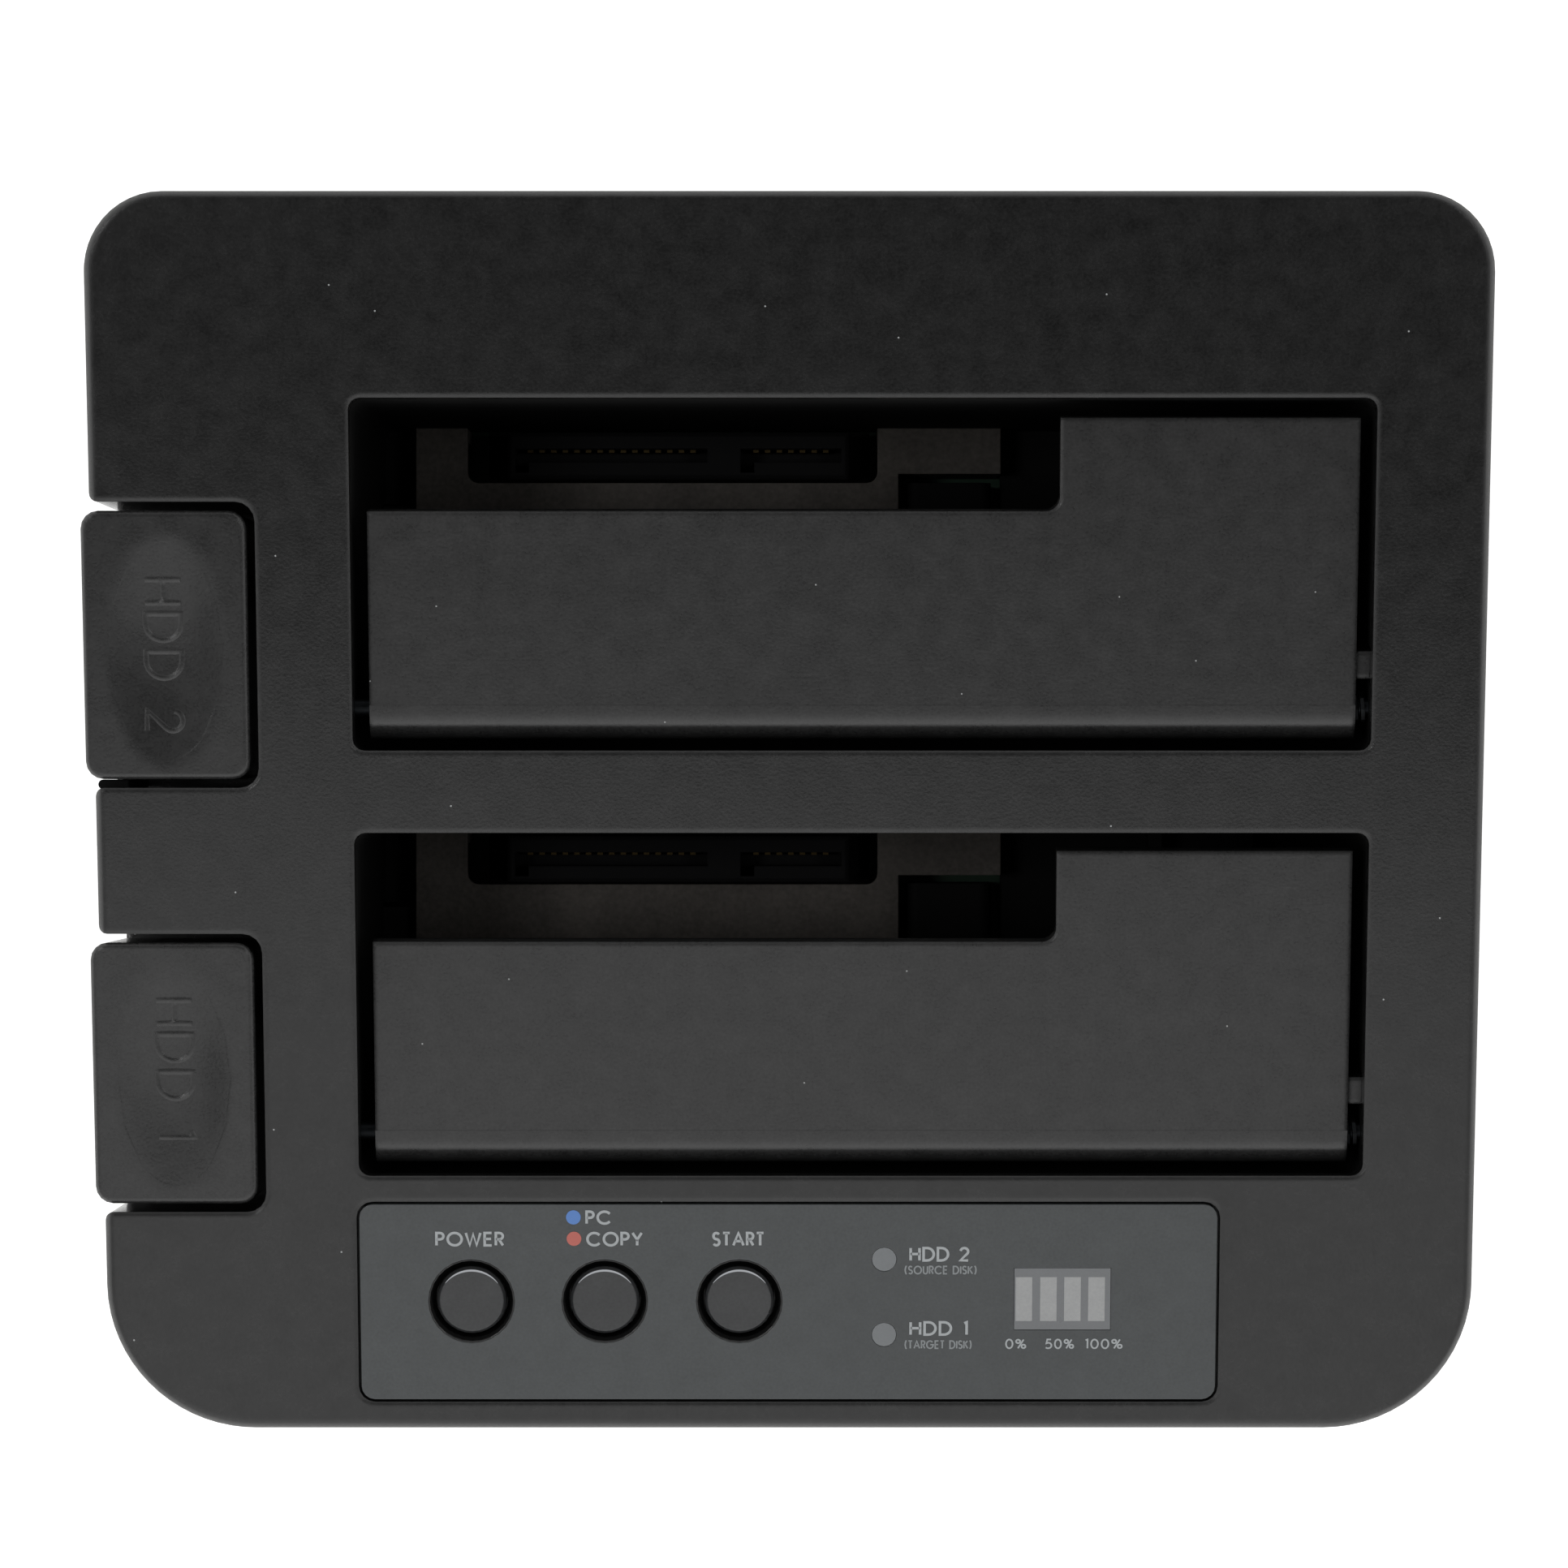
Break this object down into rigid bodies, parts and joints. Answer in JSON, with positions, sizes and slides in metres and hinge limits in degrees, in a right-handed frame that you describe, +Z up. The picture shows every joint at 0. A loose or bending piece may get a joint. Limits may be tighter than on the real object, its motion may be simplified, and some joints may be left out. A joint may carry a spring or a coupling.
{
  "type": "drive duplicator",
  "caption": "Desktop dock that copies bare hard drives: sloping black case, sprung flaps over the drive bays, side eject keys and a front control panel.",
  "frame": {"origin": "middle of the bounding box, on the table plane under the feet", "axes": "+X to the right seen from the front, +Y to the back, +Z up; the top slopes down towards -Y, the eject keys are on the left"},
  "size_m": [0.143, 0.1268, 0.0719],
  "materials": {
    "case": "fine matt texture, black",
    "case_base": "fine matt texture, black",
    "frame": "matt, black",
    "guide": "matt, dark brown grey",
    "flap": "matt, black",
    "key": "fine matt texture, black",
    "lever": "matt, black",
    "panel": "semi-gloss film, bluish dark grey",
    "bezel": "glossy, black",
    "button": "satin, dark grey",
    "light_pipe": "smoky translucent, satin",
    "level_window": "smoky translucent, satin",
    "led": "clear moulding, satin",
    "rubber": "matt",
    "screw": "zinc plated, satin",
    "pin_steel": "drawn, satin",
    "spring_steel": "drawn, satin",
    "port_metal": "nickel plated, satin",
    "port_core": "matt, black",
    "jack": "matt, black",
    "jack_pin": "nickelled brass, satin",
    "board": "lacquered, green",
    "chip": "moulded, satin",
    "can": "bright sleeve, satin",
    "socket": "matt, black",
    "contact": "gold flashed, satin",
    "switch": "matt",
    "plunger": "matt",
    "plug": "matt, off-white",
    "ribbon": "flexible film, satin"
  },
  "bodies": {
    "base": {"board_screws": "screw", "bottom_shell": "case_base", "button_bezels": "bezel", "capacitors": "can", "case_screws": "screw", "connector_guide_1": "guide", "connector_guide_2": "guide", "control_panel": "panel", "controller_chips": "chip", "drive_socket_1": "socket", "drive_socket_2": "socket", "esata_core": "port_core", "esata_port": "port_metal", "flap_pin_1": "pin_steel", "flap_pin_2": "pin_steel", "flap_spring_1": "spring_steel", "flap_spring_2": "spring_steel", "frame_screws": "screw", "key_spring_1": "spring_steel", "key_spring_2": "spring_steel", "level_window": "level_window", "lever_pin_1": "pin_steel", "lever_pin_2": "pin_steel", "main_board": "board", "panel_board": "board", "panel_leds": "led", "panel_screws": "screw", "panel_switches": "switch", "power_jack": "jack", "power_jack_pin": "jack_pin", "rear_panel": "case_base", "ribbon_cable": "ribbon", "ribbon_sockets": "plug", "rubber_feet": "rubber", "slot_frame_1": "frame", "slot_frame_2": "frame", "socket_contacts_1": "contact", "socket_contacts_2": "contact", "status_light_pipes": "light_pipe", "top_shell": "case", "usb_core": "port_core", "usb_port": "port_metal"},
    "flap_1": {"flap_1": "flap"},
    "eject_key_1": {"eject_key_1": "key"},
    "eject_lever_1": {"eject_lever_1": "lever"},
    "flap_2": {"flap_2": "flap"},
    "eject_key_2": {"eject_key_2": "key"},
    "eject_lever_2": {"eject_lever_2": "lever"},
    "power_button": {"power_button": "button", "power_plunger": "plunger"},
    "mode_button": {"mode_button": "button", "mode_plunger": "plunger"},
    "start_button": {"start_button": "button", "start_plunger": "plunger"}
  },
  "joints": [
    {"name": "flap_1_hinge", "type": "hinge", "parent": "base", "child": "flap_1", "pos_m": [0.00045, -0.0322, 0.05009], "axis": [-1, 0, 0], "range_deg": [0, 100], "stiffness_Nm_per_rad": 0.004, "springref_deg": -51.57, "deforming": ["flap_spring_1"]},
    {"name": "eject_key_1_slide", "type": "slide", "parent": "base", "child": "eject_key_1", "axis": [0, 0, -1], "range_m": [0, 0.006], "stiffness_N_per_m": 300, "springref_m": -0.004, "deforming": ["key_spring_1"]},
    {"name": "eject_lever_1_hinge", "type": "hinge", "parent": "base", "child": "eject_lever_1", "pos_m": [-0.02155, -0.0118, 0.0156], "axis": [0, -1, 0], "range_deg": [0, 9]},
    {"name": "flap_2_hinge", "type": "hinge", "parent": "base", "child": "flap_2", "pos_m": [0.00045, 0.0118, 0.05821], "axis": [-1, 0, 0], "range_deg": [0, 100], "stiffness_Nm_per_rad": 0.004, "springref_deg": -51.57, "deforming": ["flap_spring_2"]},
    {"name": "eject_key_2_slide", "type": "slide", "parent": "base", "child": "eject_key_2", "axis": [0, 0, -1], "range_m": [0, 0.006], "stiffness_N_per_m": 300, "springref_m": -0.004, "deforming": ["key_spring_2"]},
    {"name": "eject_lever_2_hinge", "type": "hinge", "parent": "base", "child": "eject_lever_2", "pos_m": [-0.02155, 0.0322, 0.0156], "axis": [0, -1, 0], "range_deg": [0, 9]},
    {"name": "power_button_slide", "type": "slide", "parent": "base", "child": "power_button", "axis": [0, 0.1815, -0.9834], "range_m": [0, 0.0005], "stiffness_N_per_m": 1500, "springref_m": -0.0004},
    {"name": "mode_button_slide", "type": "slide", "parent": "base", "child": "mode_button", "axis": [0, 0.1815, -0.9834], "range_m": [0, 0.0005], "stiffness_N_per_m": 1500, "springref_m": -0.0004},
    {"name": "start_button_slide", "type": "slide", "parent": "base", "child": "start_button", "axis": [0, 0.1815, -0.9834], "range_m": [0, 0.0005], "stiffness_N_per_m": 1500, "springref_m": -0.0004}
  ],
  "couplings": [
    {"joint": "eject_lever_1_hinge", "follows": "eject_key_1_slide", "rad_per_m": 25.641},
    {"joint": "eject_lever_2_hinge", "follows": "eject_key_2_slide", "rad_per_m": 25.641}
  ]
}
